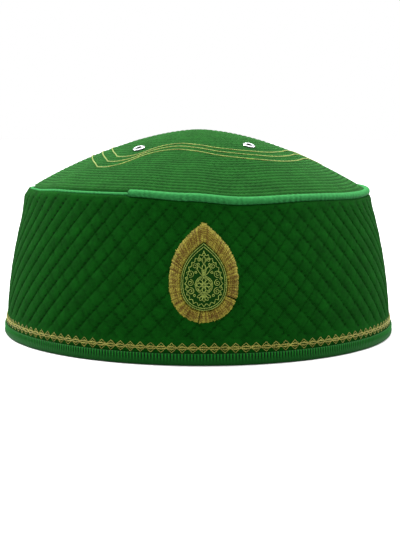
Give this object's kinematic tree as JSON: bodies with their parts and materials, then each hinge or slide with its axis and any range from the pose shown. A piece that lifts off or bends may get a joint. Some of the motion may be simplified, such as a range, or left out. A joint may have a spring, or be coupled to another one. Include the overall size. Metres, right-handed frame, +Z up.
{
  "type": "kufi cap",
  "caption": "Stiff quilted kufi cap: flared band with diamond stitching, low domed crown with ring stitching, corded seam, bound lower edge, front drop patch and small metal eyelets.",
  "frame": {"origin": "centre of the lower edge, on the surface that the cap stands on", "axes": "+Z up through the middle of the crown, -Y out of the front patch, +X to the right of someone who looks at the front"},
  "size_m": [0.19, 0.19, 0.0973],
  "materials": {
    "quilted_cloth": "matte quilted cloth",
    "satin_cord": "satin",
    "edge_binding": "ribbed tape",
    "gold_thread": "satin stitch",
    "eyelet_metal": "polished"
  },
  "bodies": {
    "root": {"band": "quilted_cloth", "crown": "quilted_cloth", "piping": "satin_cord", "rim_binding": "edge_binding", "medallion_border": "gold_thread", "medallion_field": "quilted_cloth", "eyelet_1": "eyelet_metal", "eyelet_2": "eyelet_metal", "eyelet_3": "eyelet_metal", "eyelet_4": "eyelet_metal"}
  },
  "joints": []
}
